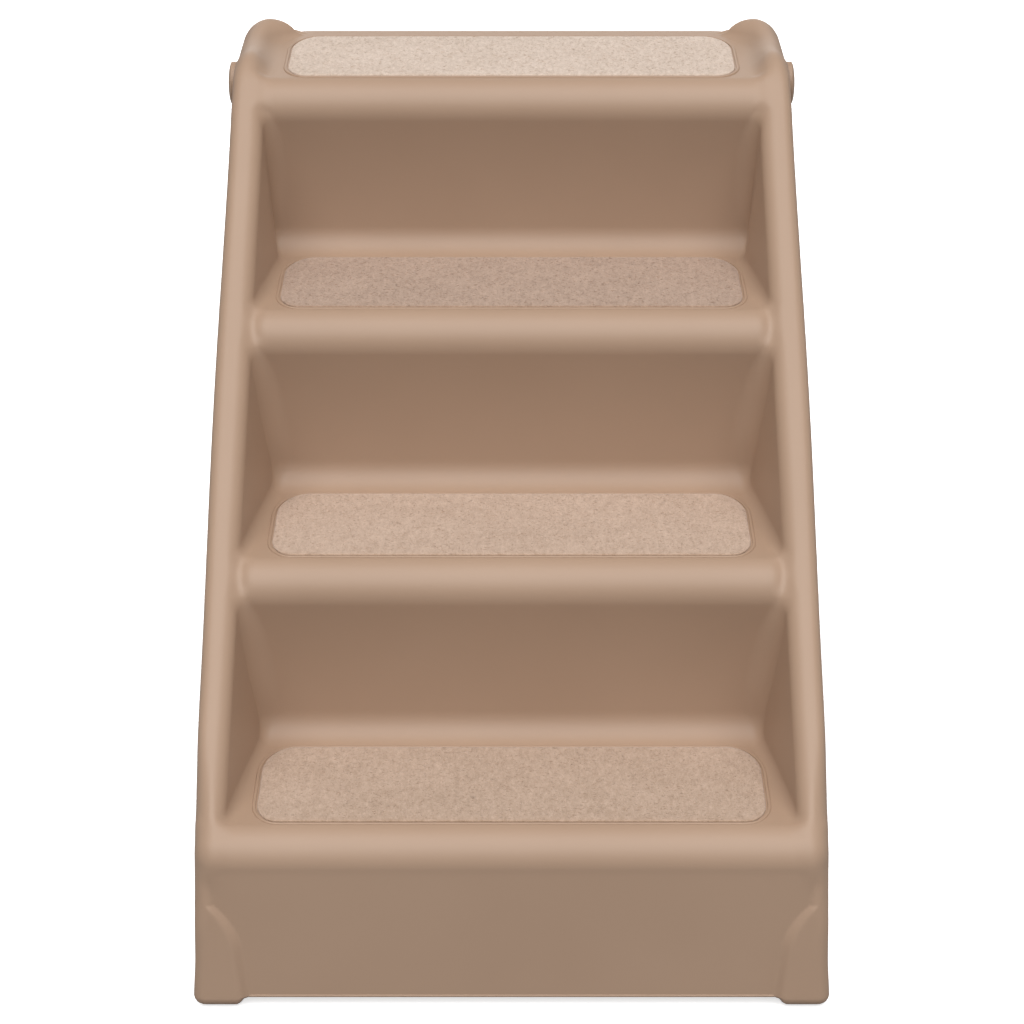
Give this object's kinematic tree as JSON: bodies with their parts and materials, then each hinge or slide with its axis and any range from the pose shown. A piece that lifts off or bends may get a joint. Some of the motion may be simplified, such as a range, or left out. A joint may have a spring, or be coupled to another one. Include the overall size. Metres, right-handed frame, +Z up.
{
  "type": "pet stairs",
  "caption": "Folding pet stairs: a hollow moulded stair body with side rails and carpet treads, held up at the back by a hinged leg that a hooked brace keeps open.",
  "frame": {"origin": "centre of the bounding box at floor level, midway between the lowest nose and the rear leg's feet", "axes": "+Y from the front, where the pet steps on, to the back; +X to the right seen from the front; +Z up"},
  "size_m": [0.4, 0.6198, 0.495],
  "materials": {
    "body_plastic": "fine-grained moulded polypropylene",
    "carpet": "needle-punched felt carpet",
    "rubber": "soft non-slip rubber",
    "steel": "zinc-plated steel"
  },
  "bodies": {
    "stairs": {"stair_shell": "body_plastic", "tread_pad_1": "carpet", "tread_pad_2": "carpet", "tread_pad_3": "carpet", "tread_pad_4": "carpet", "front_foot_left": "rubber", "front_foot_right": "rubber", "hinge_knob_left": "body_plastic", "hinge_knob_right": "body_plastic", "hinge_washers": "steel", "hinge_screws": "steel", "catch_bar": "steel", "catch_bar_caps": "body_plastic"},
    "leg": {"rear_leg": "body_plastic", "rear_foot_left": "rubber", "rear_foot_right": "rubber", "brace_pin_left": "steel", "brace_pin_right": "steel"},
    "brace": {"lock_brace": "body_plastic"}
  },
  "joints": [
    {"name": "leg_fold", "type": "hinge", "parent": "stairs", "child": "leg", "pos_m": [0, 0.217, 0.455], "axis": [1, 0, 0], "range_deg": [-55.7, 0]},
    {"name": "brace_fold", "type": "hinge", "parent": "leg", "child": "brace", "pos_m": [0, 0.25808, 0.33], "axis": [1, 0, 0], "range_deg": [0, 95]}
  ],
  "couplings": [
    {"joint": "brace_fold", "follows": "leg_fold", "ratio": -1.7015}
  ]
}
